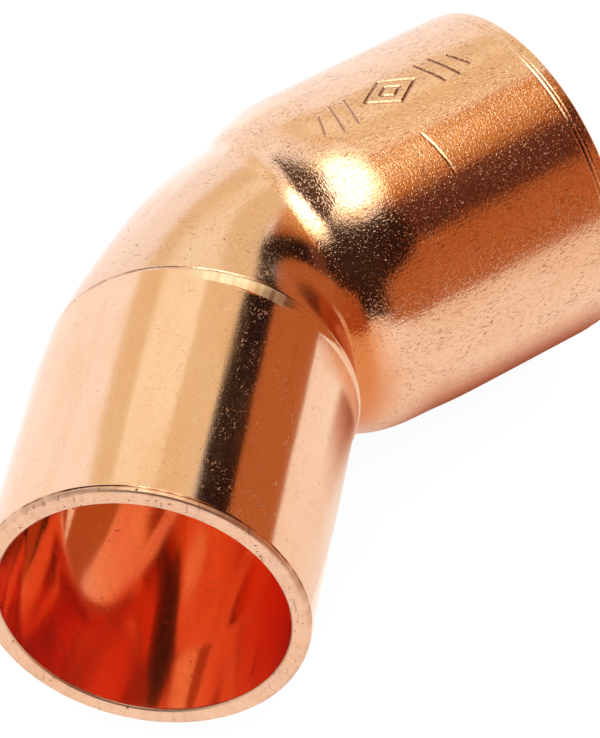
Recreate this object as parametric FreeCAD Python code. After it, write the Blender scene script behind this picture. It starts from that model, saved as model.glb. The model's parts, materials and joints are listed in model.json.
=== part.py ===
"""Copper 45 degree street elbow, 15 mm: a socket at one end and a plain spigot at the other.

The fitting is drawn from one copper tube, so its nodes are the four zones that the forming
tools make, and they meet face to face: spigot, bend, socket shoulder and socket cup.

The frame: the origin is the centre of the socket's pipe stop, +X leaves the socket's mouth
along its axis, the bend lies in the XY plane, and +Z is up when the elbow lies on its side.
All lengths are in millimetres.
"""

import math
import os

import FreeCAD
import Part
from FreeCAD import Vector

# Driving dimensions
BEND_ANGLE = 45.0  # how far the two centre lines turn
SPIGOT_OUTER_R = 7.5  # 15 mm male end
SPIGOT_WALL = 0.9
SOCKET_BORE_R = 7.54  # 0.04 mm capillary gap round a 15 mm pipe
SOCKET_OUTER_R = 8.58
SOCKET_DEPTH = 12.0  # mouth to pipe stop
CENTRE_TO_STOP = 6.0  # crossing of the centre lines to the pipe stop
CENTRE_TO_TIP = 18.8  # crossing of the centre lines to the spigot's tip

# Bend zone, measured from the crossing of the centre lines
SPIGOT_LINE = 4.6  # where the spigot's sizing die stops, along the spigot
SHOULDER_START = 2.9  # where the socket starts to swell, along the socket
BACK_FLATTENING = 0.8  # the stretched back of the bend lies this much inside a round one
SIDE_SWELL = 0.05  # the sides of the bend stand out by this much
THROAT_STEP = 0.12  # the bend stands proud of the spigot here, in the throat
STEP_LENGTH = 0.45  # length of that step's slope along the spigot
BEND_SECTIONS = 9
SECTION_POINTS = 32

# Socket shoulder: two tangent arcs outside and two inside
SHOULDER_END = 7.4  # where the outside reaches the cup's full size, from the crossing
OUTER_CREST_SHARE = 0.75  # share of the outside's length taken by its convex arc
INNER_CREST_SHARE = 0.5

# Edges
TIP_CHAMFER_LENGTH = 0.2
TIP_CHAMFER_DEPTH = 0.1
RIM_BEVEL_LENGTH = 0.7
RIM_BEVEL_DEPTH = 0.08
DEBURR = 0.12

TURN = math.radians(BEND_ANGLE)
UP = Vector(0, 0, 1)
CROSSING = Vector(-CENTRE_TO_STOP, 0, 0)
SOCKET_AXIS = Vector(1, 0, 0)
SOCKET_BACK = Vector(0, 1, 0)  # towards the outside of the bend
SPIGOT_AXIS = Vector(-math.cos(TURN), -math.sin(TURN), 0)
SPIGOT_BACK = Vector(-math.sin(TURN), math.cos(TURN), 0)
SPIGOT_BORE_R = SPIGOT_OUTER_R - SPIGOT_WALL


def revolved(axis, back, outline):
    """Turns an outline of lines and arcs about an axis through the crossing.

    Each item of the outline is a point (along, radius), or a pair of points: the middle
    and the end of an arc.
    """

    def place(along, radius):
        return CROSSING + axis * along + back * radius

    edges = []
    start = place(*outline[0])
    for item in outline[1:] + outline[:1]:
        if isinstance(item[0], tuple):
            middle, end = (place(*point) for point in item)
            edges.append(Part.Arc(start, middle, end).toShape())
        else:
            end = place(*item)
            edges.append(Part.LineSegment(start, end).toShape())
        start = end
    face = Part.Face(Part.Wire(edges))
    return face.revolve(CROSSING, axis, 360)


def s_curve(start, end, crest_share):
    """Two tangent arcs from the smaller radius, start, to the larger, end, both level there.

    Returns [(middle, end) of the hollow arc, (middle, end) of the crest arc].
    """
    length = end[0] - start[0]
    rise = end[1] - start[1]
    slope = 2 * math.atan(rise / length)  # the steepest angle, where the arcs meet
    crest_r = crest_share * length / math.sin(slope)
    hollow_r = (1 - crest_share) * length / math.sin(slope)

    def hollow(angle):
        return (
            start[0] + hollow_r * math.sin(angle),
            start[1] + hollow_r * (1 - math.cos(angle)),
        )

    def crest(angle):
        return (
            end[0] - crest_r * math.sin(angle),
            end[1] - crest_r * (1 - math.cos(angle)),
        )

    return [(hollow(slope / 2), hollow(slope)), (crest(slope / 2), end)]


def crest_radius(along, start, end, crest_share):
    """The radius of an s_curve at a place on its crest arc."""
    length = end[0] - start[0]
    slope = 2 * math.atan((end[1] - start[1]) / length)
    crest_r = crest_share * length / math.sin(slope)
    angle = math.asin((end[0] - along) / crest_r)
    return end[1] - crest_r * (1 - math.cos(angle))


OUTER_FOOT = (SHOULDER_START, SPIGOT_OUTER_R)
OUTER_CREST = (SHOULDER_END, SOCKET_OUTER_R)
OUTER_SHAPE = (OUTER_FOOT, OUTER_CREST, OUTER_CREST_SHARE)
INNER_FOOT = (SHOULDER_START, SPIGOT_BORE_R)
INNER_CREST = (CENTRE_TO_STOP, SOCKET_BORE_R)


def spigot():
    """The plain male end, sized to 15 mm, with the slope at the line where its die stops."""
    tip = CENTRE_TO_TIP
    foot = SPIGOT_LINE + STEP_LENGTH
    barrel = revolved(
        SPIGOT_AXIS,
        SPIGOT_BACK,
        [
            (foot, SPIGOT_BORE_R),
            (tip - DEBURR, SPIGOT_BORE_R),
            (tip, SPIGOT_BORE_R + DEBURR),
            (tip, SPIGOT_OUTER_R - TIP_CHAMFER_DEPTH),
            (tip - TIP_CHAMFER_LENGTH, SPIGOT_OUTER_R),
            (foot, SPIGOT_OUTER_R),
        ],
    )
    offset = THROAT_STEP / 2
    line = CROSSING + SPIGOT_AXIS * SPIGOT_LINE
    foot_circle = Part.Circle(CROSSING + SPIGOT_AXIS * foot, SPIGOT_AXIS, SPIGOT_OUTER_R)
    line_circle = Part.Circle(
        line - SPIGOT_BACK * offset, SPIGOT_AXIS, SPIGOT_OUTER_R + offset
    )
    rings = [Part.Wire(circle.toShape()) for circle in (foot_circle, line_circle)]
    slope = Part.makeLoft(rings, True, True)
    slope_bore = Part.makeCylinder(SPIGOT_BORE_R, STEP_LENGTH, line, SPIGOT_AXIS)
    return barrel.fuse(slope.cut(slope_bore)).removeSplitter()


def closed_curve(centre, back, radius, flattening, swell):
    """A closed section across the tube: round, but flattened at its back."""
    points = []
    for i in range(SECTION_POINTS):
        angle = 2 * math.pi * i / SECTION_POINTS
        half_width = radius - flattening if math.cos(angle) > 0 else radius
        across = back * (half_width * math.cos(angle))
        points.append(centre + across + UP * ((radius + swell) * math.sin(angle)))
    curve = Part.BSplineCurve()
    curve.interpolate(Points=points, PeriodicFlag=True)
    return Part.Wire(curve.toShape())


def bend_section(fraction, radius, step):
    """The section at a fraction of the turn, from the spigot's end at 0 to the shoulder at 1."""
    pivot_y = -(SPIGOT_LINE + SHOULDER_START * math.cos(TURN)) / math.sin(TURN)
    pivot = CROSSING + Vector(SHOULDER_START, pivot_y, 0)
    spigot_distance = (CROSSING + SPIGOT_AXIS * SPIGOT_LINE - pivot).dot(SPIGOT_BACK)
    socket_distance = -pivot_y
    ease = fraction * fraction * (3 - 2 * fraction)
    offset = step / 2 * (1 - ease)  # the throat stands proud by twice this, the back by none
    distance = spigot_distance + (socket_distance - spigot_distance) * ease - offset
    angle = math.pi / 2 + TURN * (1 - fraction)
    back = Vector(math.cos(angle), math.sin(angle), 0)
    arch = math.sin(math.pi * fraction)
    return closed_curve(
        pivot + back * distance,
        back,
        radius + offset,
        BACK_FLATTENING * arch,
        SIDE_SWELL * arch,
    )


def bend():
    """The turned tube between the spigot's die line and the socket's shoulder."""

    def turned(radius, step):
        sections = [
            bend_section(i / (BEND_SECTIONS - 1), radius, step)
            for i in range(BEND_SECTIONS)
        ]
        return Part.makeLoft(sections, True, False)

    return turned(SPIGOT_OUTER_R, THROAT_STEP).cut(turned(SPIGOT_BORE_R, 0))


def shoulder():
    """The swelling between the bend and the cup, whose inside stops the pipe."""
    cut = CENTRE_TO_STOP
    outer_hollow = s_curve(*OUTER_SHAPE)[0]
    inner_hollow, inner_crest = s_curve(INNER_FOOT, INNER_CREST, INNER_CREST_SHARE)
    join = outer_hollow[1]
    halfway = (join[0] + cut) / 2
    middle = (halfway, crest_radius(halfway, *OUTER_SHAPE))
    return revolved(
        SOCKET_AXIS,
        SOCKET_BACK,
        [
            INNER_FOOT,
            inner_hollow,
            inner_crest,
            (cut, crest_radius(cut, *OUTER_SHAPE)),
            (middle, join),
            (outer_hollow[0], OUTER_FOOT),
        ],
    )


def socket_cup():
    """The cup that takes a 15 mm pipe, from the pipe stop to its bevelled mouth."""
    stop = CENTRE_TO_STOP
    mouth = CENTRE_TO_STOP + SOCKET_DEPTH
    halfway = (stop + SHOULDER_END) / 2
    middle = (halfway, crest_radius(halfway, *OUTER_SHAPE))
    return revolved(
        SOCKET_AXIS,
        SOCKET_BACK,
        [
            (stop, SOCKET_BORE_R),
            (stop, crest_radius(stop, *OUTER_SHAPE)),
            (middle, OUTER_CREST),
            (mouth - RIM_BEVEL_LENGTH, SOCKET_OUTER_R),
            (mouth, SOCKET_OUTER_R - RIM_BEVEL_DEPTH),
            (mouth, SOCKET_BORE_R + DEBURR),
            (mouth - DEBURR, SOCKET_BORE_R),
        ],
    )


NODES = {
    "spigot": spigot,
    "bend": bend,
    "socket_shoulder": shoulder,
    "socket_cup": socket_cup,
}

os.makedirs("parts", exist_ok=True)
for name, make in NODES.items():
    solid = make()
    print(name, "valid", solid.isValid(), "volume", round(solid.Volume, 2), "solids", len(solid.Solids))
    solid.exportStep(f"parts/{name}.step")
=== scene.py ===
"""The looks of a copper 45 degree street elbow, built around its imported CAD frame.

Shapes are worked out in millimetres in the frame's own axes: the origin is the centre of the
socket's pipe stop, +X leaves the socket's mouth, and the bend lies in the XY plane. The skin is
one closed path of rings that runs from the tip along the outside to the mouth and back along
the inside, and each piece takes its own stretch of that path.
"""

import json
import math

import bpy
import numpy as np
from mathutils import Matrix, Vector


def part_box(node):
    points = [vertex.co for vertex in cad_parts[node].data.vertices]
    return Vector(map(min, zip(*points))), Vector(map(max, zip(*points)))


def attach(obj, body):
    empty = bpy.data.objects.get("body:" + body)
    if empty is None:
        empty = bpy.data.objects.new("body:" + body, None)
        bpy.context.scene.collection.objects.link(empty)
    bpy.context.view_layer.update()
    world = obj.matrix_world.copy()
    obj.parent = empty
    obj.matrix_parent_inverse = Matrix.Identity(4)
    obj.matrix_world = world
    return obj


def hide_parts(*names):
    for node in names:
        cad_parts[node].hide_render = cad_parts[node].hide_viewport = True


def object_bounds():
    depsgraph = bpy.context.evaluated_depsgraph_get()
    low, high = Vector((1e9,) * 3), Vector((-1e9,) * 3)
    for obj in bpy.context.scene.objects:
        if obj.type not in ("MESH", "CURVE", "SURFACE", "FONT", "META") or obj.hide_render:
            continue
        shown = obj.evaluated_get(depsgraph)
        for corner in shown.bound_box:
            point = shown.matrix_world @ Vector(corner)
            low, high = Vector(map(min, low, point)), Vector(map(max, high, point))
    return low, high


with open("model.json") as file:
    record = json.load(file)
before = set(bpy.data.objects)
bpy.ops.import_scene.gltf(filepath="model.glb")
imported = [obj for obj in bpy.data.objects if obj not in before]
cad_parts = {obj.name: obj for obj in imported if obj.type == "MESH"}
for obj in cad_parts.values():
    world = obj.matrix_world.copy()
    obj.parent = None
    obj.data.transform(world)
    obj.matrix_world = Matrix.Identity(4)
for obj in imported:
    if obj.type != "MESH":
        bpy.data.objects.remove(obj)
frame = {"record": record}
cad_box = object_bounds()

MM = 0.001
UP = np.array([0.0, 0.0, 1.0])


# ---------------------------------------------------------------- sizes from the frame

MOUNTS = {mount["name"]: mount for mount in frame["record"]["mounts"]}
SPIGOT_R = MOUNTS["spigot"]["dims"]["r_mm"]
SOCKET_BORE_R = MOUNTS["socket"]["dims"]["r_mm"]
SPIGOT_AXIS = np.array(MOUNTS["spigot"]["axis"], dtype=float)
SOCKET_AXIS = np.array([1.0, 0.0, 0.0])
SPIGOT_BACK = np.array([SPIGOT_AXIS[1], -SPIGOT_AXIS[0], 0.0])
SOCKET_BACK = np.array([0.0, 1.0, 0.0])
SPIGOT_PLACE = np.array(MOUNTS["spigot"]["pos_m"], dtype=float) / MM
# Where the two centre lines cross
CROSSING = SPIGOT_PLACE - SPIGOT_AXIS * (SPIGOT_PLACE[1] / SPIGOT_AXIS[1])
CUP_LOW, CUP_HIGH = (np.array(corner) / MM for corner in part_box("socket_cup"))
CUP_R = CUP_HIGH[2]
STOP = CUP_LOW[0] - CROSSING[0]  # from the crossing to the pipe stop
MOUTH = CUP_HIGH[0] - CROSSING[0]  # from the crossing to the socket's mouth

# ---------------------------------------------------------------- other sizes, mm

WALL = 0.9
BORE_R = SPIGOT_R - WALL
TIP = 18.8  # from the crossing to the spigot's tip
TIP_START = TIP - 0.5  # where the tip's outline begins, outside and inside
SPIGOT_LINE = 4.6  # from the crossing to the line where the spigot's sizing stops
FOOT = 2.9  # from the crossing to the foot of the shoulder
SHOULDER_END = 7.4  # from the crossing to where the cup has its full size
OUTER_CREST_SHARE = 0.75  # the part of the shoulder's length that its convex arc takes
INNER_CREST_SHARE = 0.5
BACK_FLATTENING = 0.8  # the bend's stretched back lies this much inside a round tube
SIDE_SWELL = 0.05
BACK_DIP = 0.12  # the spigot's back draws in by this much just before its line
DIP_LENGTH = 2.8

# The fine crease where the spigot's die stopped, placed in shares of the bend's turn
CREASE_DEPTH = 0.035
CREASE_PLACE, CREASE_WIDTH = 0.014, 0.008
CREASE_STAIN = 0.8

# The step at the spigot's line: none at the back, highest at its crest, then on to the throat
THROAT_STEP = 0.12
STEP_LENGTH = 0.62
SLOPE_SHARE = 0.93  # the part of that length that slopes; the rest is level
STEP_FROM, STEP_TO = 84.0, 122.0  # degrees from the back, where the step grows
STEP_CREST = 0.5  # how much higher the step is at its crest, as a share
STEP_CREST_AT, STEP_CREST_WIDTH = 116.0, 13.0
SHORT_FROM, SHORT_TO = 112.0, 134.0  # degrees from the back, where the slope gets shorter
SLOPE_HIGHLIGHT_FROM, SLOPE_HIGHLIGHT_TO = 86.0, 131.0  # degrees from the back, where a painted highlight lies on the slope
SLOPE_HIGHLIGHT_EDGE = 10.0

# Painted amber shade and reflection in the throat, where the bend faces itself; in degrees round the
# tube from its back
THROAT_SHADE_SHARE = 0.97
THROAT_SHADE_FROM, THROAT_SHADE_TO = 134.0, 255.0
THROAT_SHADE_EDGE = 25.0
THROAT_SHADE_RINGS = 64  # how far past the bend it runs, in rings of the shoulder

# The underside of the cup draws in where it begins
UNDER_DIP = 0.13
UNDER_DIP_PLACE, UNDER_DIP_LENGTH = 7.2, 1.7  # along from the crossing
UNDER_DIP_FROM, UNDER_DIP_TO = 165.0, 300.0  # degrees round the tube from its back
UNDER_DIP_EDGE = 35.0

RIM_LINE = MOUTH - 0.9  # from the crossing to the first of the two turned lines by the mouth
RIM_START = RIM_LINE - 0.3  # where the rim's outline begins, outside
RIM_END = MOUTH - 0.5  # where it ends, inside

SKIN, CUT, BORE = range(3)  # the finishes: drawn outside, sawn end and the inside

# The mesh: distances between rings and between the corners of a ring
ROW_STEP = 0.15
SHOULDER_STEP = 0.04
FINE_STEP = 0.045  # across the stamped mark, both ways
OUTLINE_STEP = 0.06
COLUMN_STEP = 0.75  # degrees
ROUNDING = 0.025  # of the edges at both ends


def smooth(t):
    """From 0 at 0 to 1 at 1, level at both ends and beyond them."""
    t = np.clip(t, 0, 1)
    return t * t * (3 - 2 * t)


def window(values, low, high, edge):
    """1 between low and high, falling to 0 at them over an edge inside."""
    return smooth((values - low) / edge) * smooth((high - values) / edge)


def bell(values, middle, width):
    return np.exp(-(((values - middle) / width) ** 2))


# ---------------------------------------------------------------- the path of rings


class Path:
    """The rings round the tube, one after another, with named places among them.

    A ring has a centre, the direction of its back, its radii at the back, in the throat and at
    the sides, how far the step lifts it, how stained it is, and a finish.
    """

    def __init__(self):
        self.rings = []
        self.finishes = []
        self.marks = {}
        self.finish = SKIN

    def add(self, centre, back, back_r, throat_r=None, side_r=None, lift=0.0, stain=0.0):
        throat_r = back_r if throat_r is None else throat_r
        side_r = back_r if side_r is None else side_r
        self.rings.append((centre, back, back_r, throat_r, side_r, lift, stain))
        self.finishes.append(self.finish)

    def mark(self, name):
        self.marks[name] = len(self.rings) - 1

    def arrays(self):
        return [np.array(column) for column in zip(*self.rings)]


def spaced(start, end, step):
    """The values after start, up to end, that are at most a step apart."""
    count = max(1, math.ceil(abs(end - start) / step))
    return [start + (end - start) * i / count for i in range(1, count + 1)]


def rounded(corners, cut, steps=6):
    """An open outline of (along, radius) corners with each inner corner rounded off by cut."""
    corners = [np.array(corner, dtype=float) for corner in corners]
    points = [corners[0]]
    for before, corner, after in zip(corners, corners[1:], corners[2:]):
        towards = (before - corner) / np.linalg.norm(before - corner)
        onwards = (after - corner) / np.linalg.norm(after - corner)
        for i in range(steps + 1):
            t = i / steps
            points.append(corner + towards * cut * (1 - t) ** 2 + onwards * cut * t**2)
    points.append(corners[-1])
    return points


def outline(path, axis, back, finish, corners, stain=0.0):
    """Adds rings about a straight axis, along an outline of (along, radius) corners."""
    path.finish = finish
    points = rounded(corners, ROUNDING)
    if not path.rings:
        path.add(CROSSING + axis * corners[0][0], back, corners[0][1])
    for start, end in zip(points, points[1:]):
        for share in spaced(0, 1, OUTLINE_STEP / max(math.dist(start, end), OUTLINE_STEP)):
            along = (1 - share) * start[0] + share * end[0]
            radius = (1 - share) * start[1] + share * end[1]
            path.add(CROSSING + axis * along, back, radius, stain=stain)


def s_radius(along, start, end, crest_share):
    """The radius at a place on two tangent arcs that are level at start and end."""
    length = end[0] - start[0]
    slope = 2 * math.atan((end[1] - start[1]) / length)
    crest_r = crest_share * length / math.sin(slope)
    hollow_r = (1 - crest_share) * length / math.sin(slope)
    if along <= start[0]:
        return start[1]
    if along >= end[0]:
        return end[1]
    if along < start[0] + (1 - crest_share) * length:
        return start[1] + hollow_r - math.sqrt(hollow_r**2 - (along - start[0]) ** 2)
    return end[1] - crest_r + math.sqrt(crest_r**2 - (end[0] - along) ** 2)


def outer_radius(along):
    return s_radius(along, (FOOT, SPIGOT_R), (SHOULDER_END, CUP_R), OUTER_CREST_SHARE)


def inner_radius(along):
    return s_radius(along, (FOOT, BORE_R), (STOP, SOCKET_BORE_R), INNER_CREST_SHARE)


def add_spigot_skin(path):
    """The spigot's outside from just behind its rounded tip to the line."""

    def ring(along, lift):
        dip = BACK_DIP * smooth((SPIGOT_LINE + DIP_LENGTH - along) / DIP_LENGTH)
        path.add(CROSSING + SPIGOT_AXIS * along, SPIGOT_BACK, SPIGOT_R - dip, SPIGOT_R, SPIGOT_R, lift)

    foot = SPIGOT_LINE + STEP_LENGTH
    for along in spaced(TIP_START, foot, ROW_STEP):
        ring(along, 0)
    path.mark("slope foot")
    for share in spaced(0, 1, 0.05):
        ring(foot - STEP_LENGTH * share, THROAT_STEP * min(1, share / SLOPE_SHARE))


def bend_ring(path, share, outside):
    """Adds the ring at a share of the turn, from the spigot's line at 0 to the foot at 1."""
    turn = math.atan2(-SPIGOT_BACK[0], SPIGOT_BACK[1])
    pivot = np.array([FOOT, -(SPIGOT_LINE + FOOT * math.cos(turn)) / math.sin(turn), 0.0])
    spigot_distance = (SPIGOT_AXIS * SPIGOT_LINE - pivot) @ SPIGOT_BACK
    ease = smooth(share)
    distance = spigot_distance + (-pivot[1] - spigot_distance) * ease
    angle = math.pi / 2 + turn * (1 - share)
    back = np.array([math.cos(angle), math.sin(angle), 0.0])
    arch = math.sin(math.pi * share)
    radius = SPIGOT_R if outside else BORE_R
    flat = BACK_FLATTENING * arch
    lift = crease = 0.0
    if outside:
        crease = bell(share, CREASE_PLACE, CREASE_WIDTH)
        radius -= CREASE_DEPTH * crease
        flat += BACK_DIP * (1 - ease) ** 2
        lift = THROAT_STEP * (1 - ease)
    centre = CROSSING + pivot + back * distance
    side_r = radius + SIDE_SWELL * arch
    path.add(centre, back, radius - flat, radius, side_r, lift, CREASE_STAIN * crease)


def add_tip(path):
    """The tip: from the bore over the ring face, its worn corner and a fine line, outwards."""
    runs = (
        (BORE, [(TIP_START, BORE_R), (TIP - 0.1, BORE_R)], 0),
        (CUT, [(TIP - 0.1, BORE_R), (TIP, BORE_R + 0.08), (TIP, SPIGOT_R - 0.22)], 0.12),
        (CUT, [(TIP, SPIGOT_R - 0.22), (TIP, SPIGOT_R - 0.14),
               (TIP - 0.06, SPIGOT_R - 0.06), (TIP - 0.2, SPIGOT_R - 0.015)], 0.35),
        (SKIN, [(TIP - 0.2, SPIGOT_R - 0.015), (TIP - 0.25, SPIGOT_R - 0.04),
                (TIP - 0.3, SPIGOT_R)], 1),
        (SKIN, [(TIP - 0.3, SPIGOT_R), (TIP_START, SPIGOT_R)], 0),
    )
    for finish, corners, stain in runs:
        outline(path, SPIGOT_AXIS, SPIGOT_BACK, finish, corners, stain)


def add_mouth(path):
    """The socket's mouth: two fine turned lines, a bevel, the ring face and the bore's edge."""
    rim = RIM_LINE
    outline(path, SOCKET_AXIS, SOCKET_BACK, SKIN, [
        (RIM_START, CUP_R), (rim, CUP_R), (rim + 0.06, CUP_R - 0.04), (rim + 0.15, CUP_R - 0.01),
        (rim + 0.24, CUP_R - 0.01), (rim + 0.3, CUP_R - 0.05), (rim + 0.38, CUP_R - 0.035),
        (MOUTH - 0.1, CUP_R - 0.06), (MOUTH - 0.03, CUP_R - 0.11)])
    path.mark("mouth")
    outline(path, SOCKET_AXIS, SOCKET_BACK, CUT, [
        (MOUTH - 0.03, CUP_R - 0.11), (MOUTH, CUP_R - 0.16), (MOUTH, SOCKET_BORE_R + 0.12),
        (MOUTH - 0.12, SOCKET_BORE_R)])
    outline(path, SOCKET_AXIS, SOCKET_BACK, BORE, [
        (MOUTH - 0.12, SOCKET_BORE_R), (RIM_END, SOCKET_BORE_R)])


def build_path():
    path = Path()
    add_tip(path)
    add_spigot_skin(path)
    path.mark("outer line")
    # close together across the crease
    for share in spaced(0, 0.04, 0.004) + spaced(0.04, 1, 0.012):
        bend_ring(path, share, True)
    path.mark("outer foot")
    for along in spaced(FOOT, STOP, SHOULDER_STEP):
        path.add(CROSSING + SOCKET_AXIS * along, SOCKET_BACK, outer_radius(along))
    path.mark("outer stop")
    for along in spaced(STOP, RIM_START, FINE_STEP):
        path.add(CROSSING + SOCKET_AXIS * along, SOCKET_BACK, outer_radius(along))
    add_mouth(path)
    for along in spaced(RIM_END, STOP, 2 * ROW_STEP):
        path.add(CROSSING + SOCKET_AXIS * along, SOCKET_BACK, SOCKET_BORE_R)
    path.mark("inner stop")
    for along in spaced(STOP, FOOT, 2 * SHOULDER_STEP):
        path.add(CROSSING + SOCKET_AXIS * along, SOCKET_BACK, inner_radius(along))
    path.mark("inner foot")
    for share in spaced(1, 0, 0.02):
        bend_ring(path, share, False)
    path.mark("inner line")
    for along in spaced(SPIGOT_LINE, TIP_START, ROW_STEP)[:-1]:
        path.add(CROSSING + SPIGOT_AXIS * along, SPIGOT_BACK, BORE_R)
    return path


# ---------------------------------------------------------------- the stamped mark and a scratch

MARK_CENTRE = (10.7, math.radians(87.25))  # along from the crossing, angle from the back
MARK_DEPTH = 0.06
MARK_WIDTH = 0.1  # half the width of a groove
MARK_STAIN = 0.8
MARK_FROM, MARK_TO = 76.0, 99.0  # degrees from the back, where the columns are fine
NICK_FROM, NICK_TO = 106.0, 125.0  # degrees from the back, across the cup
NICK_DEPTH = 0.022
NICK_WIDTH = 0.05


def mark_lines():
    """The mark's grooves as segments in mm about its centre: a lozenge between strokes."""
    lines = []
    for wide, tall in ((1.5, 0.98), (0.6, 0.4)):
        corners = [(-wide, 0), (0, tall), (wide, 0), (0, -tall)]
        lines += list(zip(corners, corners[1:] + corners[:1]))
    for side in (-1, 1):
        for i, height in enumerate((0.95, 0.95, 0.62)):
            place = side * (2.3 + 0.85 * i)
            lean = 0.25 * side
            lines.append(((place - lean, -height), (place + lean, height)))
    return lines


def mark_groove(along, across):
    """How deep the stamp's grooves are, 0 to 1, at places along and across the cup in mm."""
    nearest = np.full(along.shape, np.inf)
    for start, end in mark_lines():
        start, end = np.array(start), np.array(end)
        run = end - start
        share = ((along - start[0]) * run[0] + (across - start[1]) * run[1]) / (run @ run)
        share = np.clip(share, 0, 1)
        distance = np.hypot(along - start[0] - share * run[0], across - start[1] - share * run[1])
        nearest = np.minimum(nearest, distance)
    return np.clip(1 - (nearest / MARK_WIDTH) ** 2, 0, 1) ** 1.5


def nick_groove(along, turned):
    """How deep the long curved scratch across the cup is, 0 to 1, where turned is in degrees."""
    share = (turned - NICK_FROM) / (NICK_TO - NICK_FROM)
    place = 10.2 + 0.75 * share - 0.35 * share**2
    ends = np.clip(np.minimum(share, 1 - share) * 6, 0, 1)
    return bell(along, place, NICK_WIDTH) * ends


# ---------------------------------------------------------------- meshes


def column_angles():
    """The angle of every column from the back; they are close together across the mark."""
    fine = np.degrees(FINE_STEP / CUP_R)
    around = list(np.arange(MARK_TO, 360 + MARK_FROM, COLUMN_STEP))
    return np.radians(around + list(np.arange(MARK_FROM, MARK_TO, fine)))


def unit(vectors):
    return vectors / np.linalg.norm(vectors, axis=-1, keepdims=True)


def step_lift(path, lift, turned):
    """How far the step lifts every point: it grows from the back and is short in the throat."""
    slope = slice(0, path.marks["outer line"] + 1)
    steepness = 1 + 3 * smooth((turned - SHORT_FROM) / (SHORT_TO - SHORT_FROM))
    lift = lift[:, None] + 0 * turned
    lift[slope] = THROAT_STEP * (lift[slope] / THROAT_STEP) ** steepness
    growth = smooth((turned - STEP_FROM) / (STEP_TO - STEP_FROM))
    return lift * (growth + STEP_CREST * bell(turned, STEP_CREST_AT, STEP_CREST_WIDTH))


def wear_and_painted_light_layers(path, angles, turned, about, stain):
    """How brown every point is, how much painted highlight its slope has and how much painted amber
    shade its throat has, from 0 to 1.
    """
    # the crease and the tip's edge are stained in uneven patches
    uneven = 0.5 + 0.3 * np.sin(angles * 7 + 1)
    uneven += 0.25 * np.sin(angles * 23) + 0.2 * np.sin(angles * 61)
    stains = stain[:, None] * np.clip(uneven, 0.1, 1)
    line = path.marks["outer line"]
    # painted amber shade and reflection where the bend's throat faces itself, kept in the throat layer
    throat = slice(line, path.marks["outer foot"] + THROAT_SHADE_RINGS)
    share = np.linspace(0, 1, throat.stop - throat.start)[:, None]
    fade = smooth(share / 0.06) * smooth((1 - share) / 0.35)  # sharp at the line, soft beyond
    tarnish = np.zeros_like(stains)
    tarnish[throat] = THROAT_SHADE_SHARE * fade * window(about, THROAT_SHADE_FROM, THROAT_SHADE_TO, THROAT_SHADE_EDGE)
    # a painted highlight on the step's slope, kept in the worn layer
    worn = np.zeros_like(stains)
    patchy = 0.75 + 0.25 * np.sin(angles * 90) * np.sin(angles * 37)
    slope = slice(path.marks["slope foot"] + 2, line + 1)
    worn[slope] = patchy * window(turned, SLOPE_HIGHLIGHT_FROM, SLOPE_HIGHLIGHT_TO, SLOPE_HIGHLIGHT_EDGE)
    return {"stain": stains, "worn": worn, "throat": tarnish}


def skin(path):
    """Every ring's points, the directions that the surface faces there, and its wear."""
    angles = column_angles()
    about = np.degrees(angles) % 360
    cosine, sine = np.cos(angles), np.sin(angles)
    turned = np.degrees(np.arccos(cosine))  # from the back, the same on both sides
    centres, backs, back_r, throat_r, side_r, lift, stain = path.arrays()
    lift = step_lift(path, lift, turned)
    across = (np.where(cosine > 0, back_r[:, None], throat_r[:, None]) + lift) * cosine
    rise = (side_r[:, None] + lift) * sine
    points = centres[:, None] + across[..., None] * backs[:, None] + rise[..., None] * UP
    layers = wear_and_painted_light_layers(path, angles, turned, about, stain)
    outwards = cosine[:, None] * SOCKET_BACK + sine[:, None] * UP

    swelling = slice(path.marks["outer foot"], path.marks["mouth"])
    along = points[swelling, :, 0] - CROSSING[0]
    dip = UNDER_DIP * bell(along, UNDER_DIP_PLACE, UNDER_DIP_LENGTH)
    dip *= window(about, UNDER_DIP_FROM, UNDER_DIP_TO, UNDER_DIP_EDGE)
    dip *= smooth((along - FOOT) / 1.5)  # none at the shoulder's foot
    points[swelling] -= dip[..., None] * outwards

    cup = slice(path.marks["outer stop"], path.marks["mouth"])
    along = points[cup, :, 0] - CROSSING[0]
    arc = (angles - MARK_CENTRE[1] + math.pi) % (2 * math.pi) - math.pi
    groove = mark_groove(along - MARK_CENTRE[0], CUP_R * arc + 0 * along)
    upper = np.where(sine > 0, turned, -90.0)  # the lower side has no scratch
    nick = nick_groove(along, upper)
    points[cup] -= (MARK_DEPTH * groove + NICK_DEPTH * nick)[..., None] * outwards
    layers["stain"][cup] += MARK_STAIN * groove

    onwards = unit(np.roll(points, -1, 0) - points)
    along_path = onwards + np.roll(onwards, 1, 0)
    around = np.roll(points, -1, 1) - np.roll(points, 1, 1)
    return points, unit(np.cross(around, along_path)), layers


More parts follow.
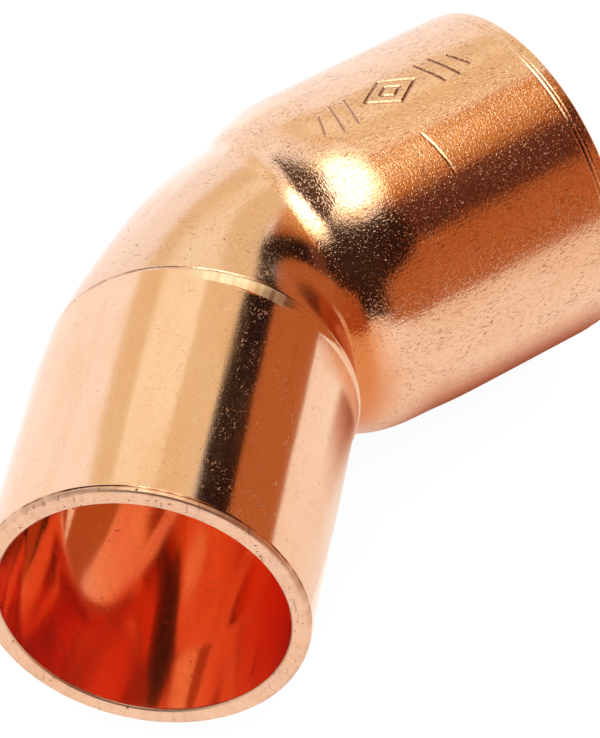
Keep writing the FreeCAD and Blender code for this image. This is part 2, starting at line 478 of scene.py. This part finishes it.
def make_piece(name, node, finishes, rows):
    """One closed piece from its stretch of rings; its last ring joins its first."""
    corners, facing = POINTS[rows], NORMALS[rows]
    tall, wide = corners.shape[:2]
    i, j = np.meshgrid(np.arange(tall), np.arange(wide), indexing="ij")
    down, right = (i + 1) % tall, (j + 1) % wide
    quads = np.stack([i * wide + j, i * wide + right, down * wide + right, down * wide + j], -1)
    mesh = bpy.data.meshes.new(name)
    mesh.from_pydata((corners.reshape(-1, 3) * MM).tolist(), [], quads.reshape(-1, 4).tolist())
    mesh.shade_smooth()
    mesh.normals_split_custom_set_from_vertices(facing.reshape(-1, 3).tolist())
    for layer, values in LAYERS.items():
        attribute = mesh.attributes.new(layer, "FLOAT", "POINT")
        attribute.data.foreach_set("value", values[rows].ravel())
    for material in finishes:
        mesh.materials.append(material)
    # a band between two rings has the finish of the second
    kinds = np.roll(np.array(PATH.finishes)[rows], -1)
    mesh.polygons.foreach_set("material_index", np.repeat(kinds, wide))
    piece = bpy.data.objects.new(name, mesh)
    bpy.context.scene.collection.objects.link(piece)
    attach(piece, "root")
    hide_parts(node)
    return piece


# ---------------------------------------------------------------- materials


def add(tree, kind, inputs=(), **settings):
    """A node with its settings made and its inputs set, or linked where one is a socket."""
    node = tree.nodes.new("ShaderNode" + kind)
    for name, value in settings.items():
        setattr(node, name, value)
    for name, value in dict(inputs).items():
        if isinstance(value, bpy.types.NodeSocket):
            tree.links.new(value, node.inputs[name])
        else:
            node.inputs[name].default_value = value
    return node


def maths(tree, operation, first, second):
    return add(tree, "Math", {0: first, 1: second}, operation=operation).outputs[0]


def noise(tree, place, scale, detail, roughness=0.5):
    inputs = {"Vector": place, "Scale": scale, "Detail": detail, "Roughness": roughness}
    return add(tree, "TexNoise", inputs).outputs["Fac"]


def between(tree, value, low, high):
    """0 below low and 1 above high, smooth between."""
    inputs = {"Value": value, "From Min": low, "From Max": high}
    return add(tree, "MapRange", inputs, interpolation_type="SMOOTHSTEP").outputs["Result"]


def blend_colour(tree, share, first, second):
    mix = add(tree, "Mix", {0: share}, data_type="RGBA")
    for socket, colour in ((mix.inputs[6], first), (mix.inputs[7], second)):
        if isinstance(colour, bpy.types.NodeSocket):
            tree.links.new(colour, socket)
        else:
            socket.default_value = (*colour, 1)
    return mix.outputs[2]


def mapped(tree, place, scale, rotation=(0, 0, 0)):
    """The place turned by degrees, then scaled along each axis."""
    turned = place
    if any(rotation):
        inputs = {"Vector": place, "Rotation": [math.radians(angle) for angle in rotation]}
        turned = add(tree, "Mapping", inputs).outputs[0]
    return add(tree, "Mapping", {"Vector": turned, "Scale": scale}).outputs[0]


def marks(tree, place, length, width, low, high, turn=(0, 0, 0)):
    """Sparse dashes of a length and a width in mm that lie along a turned direction.

    They are where a noise is above low, and in full above high.
    """
    stretched = mapped(tree, place, (1 / length, 1 / width, 1 / width), turn)
    return between(tree, noise(tree, stretched, scale=1.0, detail=0.0), low, high)


def total(tree, terms):
    """The sum of (value, factor) terms."""
    result = None
    for value, factor in terms:
        term = maths(tree, "MULTIPLY", value, factor)
        result = term if result is None else maths(tree, "ADD", result, term)
    return result


# Turns of the small scratches about each axis, in degrees
SCRATCH_TURNS = ((0, 0, 12), (0, 25, 68), (0, -35, -48), (0, 60, 110))
COPPER = (0.95, 0.60, 0.40)
TURNED_COPPER = (0.90, 0.58, 0.40)
CUT_COPPER = (0.90, 0.56, 0.38)
RED_COPPER = (0.93, 0.385, 0.19)
TARNISH = (0.90, 0.50, 0.28)
DARK_RED = (0.86, 0.25, 0.16)
DASH_BROWN = (0.52, 0.23, 0.12)
PIT_BROWN = (0.20, 0.07, 0.04)
STAIN_BROWN = (0.36, 0.13, 0.06)
# the colour of the painted amber shade and reflection in the throat
PAINTED_THROAT_AMBER = (0.74, 0.24, 0.07)
# the colour of the painted highlight on the step's slope
PAINTED_SLOPE_HIGHLIGHT = (1.0, 0.91, 0.66)


def copper(name, colour, tarnish=TARNISH, *, heading, roughness, grain, specks, dirt, scratch,
           waviness=1.0, metallic=1.0):
    """Copper whose grain runs along a heading in degrees.

    grain, scratch and waviness scale the relief; specks and dirt the darker dashes and spots.
    """
    material = bpy.data.materials.new(name)
    material.use_nodes = True
    tree = material.node_tree
    shader = tree.nodes["Principled BSDF"]
    shader.inputs["Metallic"].default_value = metallic
    metres = add(tree, "TexCoord").outputs["Object"]
    place = add(tree, "Mapping", {"Vector": metres, "Scale": (1000, 1000, 1000),
                                  "Rotation": (0, 0, math.radians(-heading))}).outputs[0]
    # darker dashes along the grain, round pits, smudges across it, and wide faint stains;
    # the patches are where most of them lie
    patch = between(tree, noise(tree, place, scale=0.6, detail=2.0), 0.35, 0.62)
    dash = marks(tree, place, length=0.28, width=0.055, low=0.54, high=0.74)
    dash = maths(tree, "MULTIPLY", dash, between(tree, patch, -0.8, 1.2))
    pit = between(tree, noise(tree, place, scale=5.0, detail=1.0), 0.70, 0.76)
    pit = maths(tree, "MULTIPLY", pit, patch)
    smudge = marks(tree, place, length=0.14, width=0.6, low=0.72, high=0.79)
    smudge = maths(tree, "MULTIPLY", smudge, patch)
    spread = mapped(tree, place, (0.25, 1, 1))
    stain = between(tree, noise(tree, spread, scale=0.7, detail=4.0, roughness=0.6), 0.4, 0.72)
    old, worn, throat = (
        add(tree, "Attribute", attribute_name=layer, attribute_type="GEOMETRY").outputs["Fac"]
        for layer in ("stain", "worn", "throat"))
    warm = blend_colour(tree, maths(tree, "MULTIPLY", stain, 0.5), colour, tarnish)
    dashed = blend_colour(tree, maths(tree, "MULTIPLY", dash, specks), warm, DASH_BROWN)
    dark = maths(tree, "MAXIMUM", maths(tree, "MULTIPLY", pit, 0.75 * dirt),
                 maths(tree, "MULTIPLY", smudge, 0.3 * dirt))
    spotted = blend_colour(tree, dark, dashed, PIT_BROWN)
    # painted amber shade and reflection in the throat
    amber = blend_colour(tree, throat, spotted, PAINTED_THROAT_AMBER)
    aged = blend_colour(tree, old, amber, STAIN_BROWN)
    # a painted highlight on the step's slope, pale and rougher
    rubbed = blend_colour(tree, worn, aged, PAINTED_SLOPE_HIGHLIGHT)
    tree.links.new(rubbed, shader.inputs["Base Color"])
    rough = total(tree, (
        (stain, 0.05), (dash, 0.1 * specks), (dark, 0.3), (old, 0.1), (worn, 0.34)))
    tree.links.new(maths(tree, "ADD", rough, roughness), shader.inputs["Roughness"])
    # relief in micrometres: grain round the tube, drawing lines along it, specks and waves,
    # then pits and scratches, which lie in patches of their own
    crosswise = mapped(tree, place, (1, 0.4, 0.4))
    fine = noise(tree, crosswise, scale=12.0, detail=2.0, roughness=0.6)
    lengthwise = mapped(tree, place, (0.05, 1, 1))
    lines = noise(tree, lengthwise, scale=6.0, detail=2.0, roughness=0.6)
    waves = noise(tree, mapped(tree, place, (0.5, 1, 1)), scale=0.45, detail=1.0)
    specked = noise(tree, mapped(tree, place, (1, 0.7, 0.7)), scale=12.0, detail=1.0)
    speck = between(tree, specked, 0.58, 0.70)
    terms = [(fine, 7 * grain), (lines, 3 * grain), (speck, -3.5 * grain),
             (waves, 30 * waviness), (pit, -12 * dirt)]
    scratched = between(tree, noise(tree, place, scale=0.4, detail=1.0), 0.45, 0.6)
    for turn in SCRATCH_TURNS:
        scratches = marks(tree, place, length=0.9, width=0.05, low=0.81, high=0.86, turn=turn)
        terms.append((maths(tree, "MULTIPLY", scratches, scratched), -9.0 * scratch))
    bump = add(tree, "Bump", {"Height": total(tree, terms), "Distance": 1e-6, "Strength": 1.0})
    tree.links.new(bump.outputs["Normal"], shader.inputs["Normal"])
    return material


# ---------------------------------------------------------------- studio

VIEW_DISTANCE = 176.67  # mm
VIEW_TARGET = (-4.73, -5.03, 0.0)  # mm
VIEW_HEADING = 34.9  # degrees from +Y towards +X
VIEW_DROP = 43.62  # degrees below level
VIEW_ROLL = -1.64
LENS = 183.78  # mm


def add_camera():
    heading, drop, roll = (math.radians(a) for a in (VIEW_HEADING, VIEW_DROP, VIEW_ROLL))
    forward = Vector((math.sin(heading) * math.cos(drop), math.cos(heading) * math.cos(drop),
                      -math.sin(drop)))
    right = forward.cross(Vector((0, 0, 1))).normalized()
    up = right.cross(forward)
    right, up = (right * math.cos(roll) + up * math.sin(roll),
                 up * math.cos(roll) - right * math.sin(roll))
    camera = bpy.data.objects.new("camera", bpy.data.cameras.new("camera"))
    camera.data.lens = LENS
    camera.data.sensor_width = 36
    camera.data.clip_start = 0.01
    turn = Matrix((right, up, -forward)).transposed().to_4x4()
    place = (Vector(VIEW_TARGET) - forward * VIEW_DISTANCE) * MM
    camera.matrix_world = Matrix.Translation(place) @ turn
    bpy.context.scene.collection.objects.link(camera)
    bpy.context.scene.camera = camera


def glow(name, colour, strength=1.0):
    material = bpy.data.materials.new(name)
    material.use_nodes = True
    nodes, links = material.node_tree.nodes, material.node_tree.links
    nodes.clear()
    emission = nodes.new("ShaderNodeEmission")
    emission.inputs["Color"].default_value = (*colour, 1)
    emission.inputs["Strength"].default_value = strength
    output = nodes.new("ShaderNodeOutputMaterial")
    links.new(emission.outputs["Emission"], output.inputs["Surface"])
    return material


def direction(azimuth, elevation):
    """A direction from its azimuth, clockwise from the way the camera looks, in degrees."""
    a, e = math.radians(azimuth + VIEW_HEADING), math.radians(elevation)
    return Vector((math.sin(a) * math.cos(e), math.cos(a) * math.cos(e), math.sin(e)))


def card(name, azimuths, lows, highs, distance, colour, strength=1.0, steps=24):
    """A card curved round the object, seen only in its reflections.

    lows and highs are its lower and upper elevations at its two azimuths.
    """
    verts, faces = [], []
    for i in range(steps + 1):
        t = i / steps
        azimuth = azimuths[0] * (1 - t) + azimuths[1] * t
        low, high = (e[0] * (1 - t) + e[1] * t for e in (lows, highs))
        for k in range(steps + 1):
            verts.append(direction(azimuth, low + (high - low) * k / steps) * distance)
    for i in range(steps):
        for k in range(steps):
            a = i * (steps + 1) + k
            faces.append((a, a + 1, a + steps + 2, a + steps + 1))
    mesh = bpy.data.meshes.new(name)
    mesh.from_pydata(verts, [], faces)
    mesh.materials.append(glow(name, colour, strength))
    stage_only(bpy.data.objects.new(name, mesh))


def stage_only(obj):
    """Adds an object that only reflections see."""
    bpy.context.scene.collection.objects.link(obj)
    obj.visible_camera = False
    obj.visible_diffuse = False
    obj.visible_transmission = False
    obj.visible_shadow = False


def add_studio():
    world = bpy.data.worlds.new("studio")
    bpy.context.scene.world = world
    world.use_nodes = True
    background = world.node_tree.nodes["Background"]
    background.inputs["Color"].default_value = (0.98, 1.02, 1.06, 1)
    background.inputs["Strength"].default_value = 1.08
    # azimuths, elevations of the lower and of the upper edge, distance in m, colour, strength
    card("orange_wall", (41, 158), (-2, -2), (72, 60), 0.6, (0.48, 0.158, 0.05))
    card("wall_foot", (102, 158), (-4, -4), (1, 1), 0.09, (0.47, 0.15, 0.05))
    card("amber_strip", (36, 95), (54, 56), (70, 68), 0.58, (0.70, 0.33, 0.09))
    card("dark_strip", (34, 80), (26, 29.5), (42, 51), 0.56, (0.015, 0.006, 0.006))
    card("brown_strip", (80, 112), (29.5, 32), (51, 57), 0.56, (0.13, 0.04, 0.028))
    card("dark_corner", (110, 165), (34, 20), (62, 62), 0.55, (0.03, 0.012, 0.01))
    card("camera_side", (156, 215), (0, 0), (63, 60), 0.54, (0.04, 0.02, 0.015))
    card("left_side", (205, 306), (30, 34), (80, 78), 0.48, (0.08, 0.045, 0.03))
    card("cream_card", (-30, 36), (25, 26), (62, 62), 0.57, (0.86, 0.75, 0.51))
    card("bright_strip", (-20, 9), (36, 41), (46, 51), 0.56, (1.05, 1.05, 0.88))
    card("softbox_edge", (0, 360), (66, 66), (74, 74), 0.5, (1.0, 0.86, 0.55), 1.5)
    card("softbox_corner", (55, 112), (65, 64), (73, 73), 0.49, (1.0, 0.9, 0.6), 1.8)
    card("softbox", (0, 360), (72, 72), (90, 90), 0.5, (1.0, 0.98, 0.92), 3.5)


FLOOR_CENTRE = np.array([-4.0, -5.0])  # mm
TABLE_LIGHT = 1.08
# Painted shadows of the tubes on the table top that reflections see: a line from and to, in mm, and a
# width
PAINTED_TUBE_SHADOWS = (((6, -2), (12, -2), 7.0), ((-7, -1), (-18, -12), 1.2))
PAINTED_SHADOW_DEPTH = 0.98
PAINTED_SHADOW_RED = np.array([0.24, 0.06, 0.03])  # painted red light from the copper in the painted shadows
PAINTED_SHADOW_EDGE = np.array([0.75, 1.1, 1.3])  # powers that redden the painted shadow's edge
PAINTED_WARM_SHADE = np.array([0.13, 0.22, 0.30])  # painted shade: what the table loses on its warmer right side
FAR_GLOW = np.array([0.15, 0.24, 0.38])  # painted light: what it gains in a lobe ahead of the camera
FAR_GLOW_AZIMUTH, FAR_GLOW_WIDTH = -18.0, 9.0


def painted_floor_light_and_shade(places):
    """The table top's painted light and shade as reflections see it, at places in mm: painted shadows
    close under the tubes.
    """
    tone = np.ones((len(places), 1))
    for start, end, width in PAINTED_TUBE_SHADOWS:
        start, end = np.array(start, float), np.array(end, float)
        run = end - start
        share = np.clip((places - start) @ run / (run @ run), 0, 1)
        gap = np.linalg.norm(places - start - share[:, None] * run, axis=1, keepdims=True)
        tone *= 1 - PAINTED_SHADOW_DEPTH * np.exp(-((gap / width) ** 4))
    aside = places - FLOOR_CENTRE
    azimuth = np.degrees(np.arctan2(aside[:, :1], aside[:, 1:])) - VIEW_HEADING
    # painted shade: warmer to the right of the way the camera looks, and most of all far off
    right = smooth((azimuth - 30) / 65) * smooth((185 - azimuth) / 20)
    far = smooth((np.linalg.norm(aside, axis=1, keepdims=True) - 15) / 60)
    shade = 1 - right * (0.75 + 0.5 * far) * PAINTED_WARM_SHADE
    light = TABLE_LIGHT + bell(azimuth, FAR_GLOW_AZIMUTH, FAR_GLOW_WIDTH) * FAR_GLOW
    return light * tone**PAINTED_SHADOW_EDGE * shade + (1 - tone) * PAINTED_SHADOW_RED


def add_floor():
    """A white table top at the elbow's lowest point, and a glowing copy with painted shadows and light
    that only reflections see.
    """
    turns = np.radians(np.arange(0, 360, 3))
    round_once = np.column_stack([np.sin(turns), np.cos(turns)])
    # rings in mm, close together under the elbow and then ever wider apart
    radii = list(np.arange(0.7, 30, 0.7)) + list(30 * 1.12 ** np.arange(1, 37))
    places = np.vstack([FLOOR_CENTRE] + [FLOOR_CENTRE + radius * round_once for radius in radii])
    wide = len(turns)
    faces = [(0, 1 + (j + 1) % wide, 1 + j) for j in range(wide)]
    for i in range(len(radii) - 1):
        inner, outer = 1 + i * wide, 1 + (i + 1) * wide
        for j in range(wide):
            k = (j + 1) % wide
            faces.append((inner + j, inner + k, outer + k, outer + j))
    verts = np.column_stack([places * MM, np.full(len(places), cad_box[0][2])])
    colours = np.column_stack([painted_floor_light_and_shade(places), np.ones(len(places))])
    for name, material in (("floor", floor_material()), ("floor_in_reflections", painted_floor_material())):
        mesh = bpy.data.meshes.new(name)
        mesh.from_pydata(verts.tolist(), [], faces)
        tones = mesh.color_attributes.new("tone", "FLOAT_COLOR", "POINT")
        tones.data.foreach_set("color", colours.ravel())
        mesh.materials.append(material)
        floor = bpy.data.objects.new(name, mesh)
        if name == "floor":
            bpy.context.scene.collection.objects.link(floor)
            floor.visible_glossy = False
        else:
            stage_only(floor)


def floor_material():
    material = bpy.data.materials.new("floor")
    material.use_nodes = True
    shader = material.node_tree.nodes["Principled BSDF"]
    shader.inputs["Base Color"].default_value = (0.1, 0.1, 0.1, 1)
    shader.inputs["Roughness"].default_value = 0.9
    shader.inputs["Specular IOR Level"].default_value = 0.0
    shader.inputs["Emission Color"].default_value = (1.0, 1.0, 1.0, 1)
    shader.inputs["Emission Strength"].default_value = 0.95
    return material


def painted_floor_material():
    material = glow("painted_floor_light_and_shade", (1, 1, 1))
    tree = material.node_tree
    tones = add(tree, "Attribute", attribute_name="tone", attribute_type="GEOMETRY")
    tree.links.new(tones.outputs["Color"], tree.nodes["Emission"].inputs["Color"])
    return material


# ---------------------------------------------------------------- the scene

add_camera()
add_studio()
add_floor()
scene = bpy.context.scene
scene.view_settings.view_transform = "Standard"
scene.cycles.max_bounces = 24
scene.cycles.glossy_bounces = 24
scene.cycles.caustics_reflective = False

PATH = build_path()
POINTS, NORMALS, LAYERS = skin(PATH)

spigot_skin = copper("drawn_spigot", COPPER, heading=45, roughness=0.1, grain=0.12, specks=0.15,
                     dirt=0.4, scratch=0.6, waviness=0.5)
bend_skin = copper("drawn_bend", TURNED_COPPER, heading=22, roughness=0.14, grain=0.4,
                   specks=0.3, dirt=1.0, scratch=0.7)
cup_skin = copper("grained_cup", COPPER, heading=0, roughness=0.11, grain=1.2, specks=0.8,
                  dirt=0.8, scratch=1.0, waviness=0.7)
cut_end = copper("sawn_end", CUT_COPPER, heading=135, roughness=0.4, grain=0.7, specks=0.4,
                 dirt=1.5, scratch=0.3)
red_spigot = copper("red_spigot_bore", RED_COPPER, DARK_RED, heading=45, roughness=0.06,
                    grain=0.1, specks=0.2, dirt=0.7, scratch=0.3, waviness=0.3, metallic=0.96)
red_cup = copper("red_cup_bore", RED_COPPER, DARK_RED, heading=0, roughness=0.08, grain=0.3,
                 specks=0.5, dirt=0.7, scratch=0.5, waviness=0.5, metallic=0.96)


def stretch(*pairs):
    """The rings between pairs of marks, ends included, going round the closed path."""
    count = len(POINTS)
    found = []
    for first, last in pairs:
        start, end = PATH.marks[first], PATH.marks[last]
        end += count if end < start else 0
        found += [i % count for i in range(start, end + 1)]
    return found


make_piece("sized_spigot", "spigot", (spigot_skin, cut_end, red_spigot),
           stretch(("inner line", "outer line")))
make_piece("turned_bend", "bend", (bend_skin, cut_end, red_spigot),
           stretch(("outer line", "outer foot"), ("inner foot", "inner line")))
make_piece("swelled_shoulder", "socket_shoulder", (cup_skin, cut_end, red_cup),
           stretch(("outer foot", "outer stop"), ("inner stop", "inner foot")))
make_piece("socket_cup_skin", "socket_cup", (cup_skin, cut_end, red_cup),
           stretch(("outer stop", "inner stop")))
